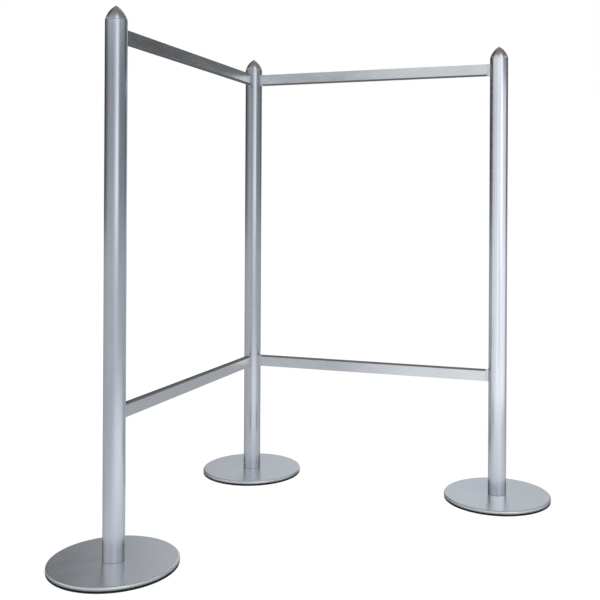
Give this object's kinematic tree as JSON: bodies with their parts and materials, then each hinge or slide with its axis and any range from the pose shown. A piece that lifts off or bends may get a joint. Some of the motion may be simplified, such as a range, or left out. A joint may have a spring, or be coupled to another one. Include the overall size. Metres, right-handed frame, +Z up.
{
  "type": "crowd control barrier",
  "caption": "Free-standing corner barrier: pointed round posts on disc bases, joined at a right angle by upper and lower grooved panel rails.",
  "frame": {"origin": "on the floor, at the middle of the square that the two wings span", "axes": "+X along the right wing away from the corner post, +Y along the left wing towards the corner post, +Z up"},
  "size_m": [1.24, 1.24, 1.5],
  "materials": {
    "post_tube": "satin anodised tube with fine vertical grain",
    "post_cap": "satin turned point",
    "base_steel": "satin brushed disc with a brighter rounded rim",
    "panel_rail": "satin anodised extrusion with fine lengthwise grain",
    "cast_block": "tumbled casting",
    "zinc_steel": "zinc plated",
    "gasket_rubber": "matt extruded rubber",
    "pad_rubber": "matt moulded rubber",
    "seal_rubber": "smooth rubber"
  },
  "bodies": {
    "frame": {"left_floor_pad": "pad_rubber", "left_base_plate": "base_steel", "left_base_washer": "zinc_steel", "left_base_bolt": "zinc_steel", "left_foot_spigot": "cast_block", "left_tube": "post_tube", "corner_floor_pad": "pad_rubber", "corner_base_plate": "base_steel", "corner_base_washer": "zinc_steel", "corner_base_bolt": "zinc_steel", "corner_foot_spigot": "cast_block", "corner_tube": "post_tube", "right_floor_pad": "pad_rubber", "right_base_plate": "base_steel", "right_base_washer": "zinc_steel", "right_base_bolt": "zinc_steel", "right_foot_spigot": "cast_block", "right_tube": "post_tube", "right_lower_rail": "panel_rail", "right_lower_gasket": "gasket_rubber", "right_lower_corner_end_block": "cast_block", "right_lower_right_end_block": "cast_block", "right_upper_rail": "panel_rail", "right_upper_gasket": "gasket_rubber", "right_upper_corner_end_block": "cast_block", "right_upper_right_end_block": "cast_block", "left_lower_rail": "panel_rail", "left_lower_gasket": "gasket_rubber", "left_lower_left_end_block": "cast_block", "left_lower_corner_end_block": "cast_block", "left_upper_rail": "panel_rail", "left_upper_gasket": "gasket_rubber", "left_upper_left_end_block": "cast_block", "left_upper_corner_end_block": "cast_block"},
    "right_lower_corner_screw": {"right_lower_corner_lock_screw": "zinc_steel"},
    "right_lower_corner_hook": {"right_lower_corner_hook": "zinc_steel"},
    "right_lower_right_screw": {"right_lower_right_lock_screw": "zinc_steel"},
    "right_lower_right_hook": {"right_lower_right_hook": "zinc_steel"},
    "right_upper_corner_screw": {"right_upper_corner_lock_screw": "zinc_steel"},
    "right_upper_corner_hook": {"right_upper_corner_hook": "zinc_steel"},
    "right_upper_right_screw": {"right_upper_right_lock_screw": "zinc_steel"},
    "right_upper_right_hook": {"right_upper_right_hook": "zinc_steel"},
    "left_lower_left_screw": {"left_lower_left_lock_screw": "zinc_steel"},
    "left_lower_left_hook": {"left_lower_left_hook": "zinc_steel"},
    "left_lower_corner_screw": {"left_lower_corner_lock_screw": "zinc_steel"},
    "left_lower_corner_hook": {"left_lower_corner_hook": "zinc_steel"},
    "left_upper_left_screw": {"left_upper_left_lock_screw": "zinc_steel"},
    "left_upper_left_hook": {"left_upper_left_hook": "zinc_steel"},
    "left_upper_corner_screw": {"left_upper_corner_lock_screw": "zinc_steel"},
    "left_upper_corner_hook": {"left_upper_corner_hook": "zinc_steel"},
    "left_cap": {"left_cap": "post_cap", "left_cap_ring": "seal_rubber"},
    "corner_cap": {"corner_cap": "post_cap", "corner_cap_ring": "seal_rubber"},
    "right_cap": {"right_cap": "post_cap", "right_cap_ring": "seal_rubber"}
  },
  "joints": [
    {"name": "right_lower_corner_lock_turn", "type": "hinge", "parent": "frame", "child": "right_lower_corner_screw", "pos_m": [-0.3815, 0.445, 0.3985], "axis": [0, 1, 0], "range_deg": [0, 180]},
    {"name": "right_lower_corner_hook_slide", "type": "slide", "parent": "frame", "child": "right_lower_corner_hook", "axis": [-1, 0, 0], "range_m": [0, 0.003]},
    {"name": "right_lower_right_lock_turn", "type": "hinge", "parent": "frame", "child": "right_lower_right_screw", "pos_m": [0.3815, 0.445, 0.3985], "axis": [0, 1, 0], "range_deg": [0, 180]},
    {"name": "right_lower_right_hook_slide", "type": "slide", "parent": "frame", "child": "right_lower_right_hook", "axis": [1, 0, 0], "range_m": [0, 0.003]},
    {"name": "right_upper_corner_lock_turn", "type": "hinge", "parent": "frame", "child": "right_upper_corner_screw", "pos_m": [-0.3815, 0.445, 1.428], "axis": [0, 1, 0], "range_deg": [0, 180]},
    {"name": "right_upper_corner_hook_slide", "type": "slide", "parent": "frame", "child": "right_upper_corner_hook", "axis": [-1, 0, 0], "range_m": [0, 0.003]},
    {"name": "right_upper_right_lock_turn", "type": "hinge", "parent": "frame", "child": "right_upper_right_screw", "pos_m": [0.3815, 0.445, 1.428], "axis": [0, 1, 0], "range_deg": [0, 180]},
    {"name": "right_upper_right_hook_slide", "type": "slide", "parent": "frame", "child": "right_upper_right_hook", "axis": [1, 0, 0], "range_m": [0, 0.003]},
    {"name": "left_lower_left_lock_turn", "type": "hinge", "parent": "frame", "child": "left_lower_left_screw", "pos_m": [-0.445, -0.3815, 0.3985], "axis": [-1, 0, 0], "range_deg": [0, 180]},
    {"name": "left_lower_left_hook_slide", "type": "slide", "parent": "frame", "child": "left_lower_left_hook", "axis": [0, -1, 0], "range_m": [0, 0.003]},
    {"name": "left_lower_corner_lock_turn", "type": "hinge", "parent": "frame", "child": "left_lower_corner_screw", "pos_m": [-0.445, 0.3815, 0.3985], "axis": [-1, 0, 0], "range_deg": [0, 180]},
    {"name": "left_lower_corner_hook_slide", "type": "slide", "parent": "frame", "child": "left_lower_corner_hook", "axis": [0, 1, 0], "range_m": [0, 0.003]},
    {"name": "left_upper_left_lock_turn", "type": "hinge", "parent": "frame", "child": "left_upper_left_screw", "pos_m": [-0.445, -0.3815, 1.428], "axis": [-1, 0, 0], "range_deg": [0, 180]},
    {"name": "left_upper_left_hook_slide", "type": "slide", "parent": "frame", "child": "left_upper_left_hook", "axis": [0, -1, 0], "range_m": [0, 0.003]},
    {"name": "left_upper_corner_lock_turn", "type": "hinge", "parent": "frame", "child": "left_upper_corner_screw", "pos_m": [-0.445, 0.3815, 1.428], "axis": [-1, 0, 0], "range_deg": [0, 180]},
    {"name": "left_upper_corner_hook_slide", "type": "slide", "parent": "frame", "child": "left_upper_corner_hook", "axis": [0, 1, 0], "range_m": [0, 0.003]},
    {"name": "left_cap_lift", "type": "slide", "parent": "frame", "child": "left_cap", "axis": [0, 0, 1], "range_m": [0, 0.06]},
    {"name": "corner_cap_lift", "type": "slide", "parent": "frame", "child": "corner_cap", "axis": [0, 0, 1], "range_m": [0, 0.06]},
    {"name": "right_cap_lift", "type": "slide", "parent": "frame", "child": "right_cap", "axis": [0, 0, 1], "range_m": [0, 0.06]}
  ],
  "couplings": [
    {"joint": "right_lower_corner_lock_turn", "follows": "right_lower_corner_hook_slide", "rad_per_m": 1047.2},
    {"joint": "right_lower_right_lock_turn", "follows": "right_lower_right_hook_slide", "rad_per_m": 1047.2},
    {"joint": "right_upper_corner_lock_turn", "follows": "right_upper_corner_hook_slide", "rad_per_m": 1047.2},
    {"joint": "right_upper_right_lock_turn", "follows": "right_upper_right_hook_slide", "rad_per_m": 1047.2},
    {"joint": "left_lower_left_lock_turn", "follows": "left_lower_left_hook_slide", "rad_per_m": 1047.2},
    {"joint": "left_lower_corner_lock_turn", "follows": "left_lower_corner_hook_slide", "rad_per_m": 1047.2},
    {"joint": "left_upper_left_lock_turn", "follows": "left_upper_left_hook_slide", "rad_per_m": 1047.2},
    {"joint": "left_upper_corner_lock_turn", "follows": "left_upper_corner_hook_slide", "rad_per_m": 1047.2}
  ]
}
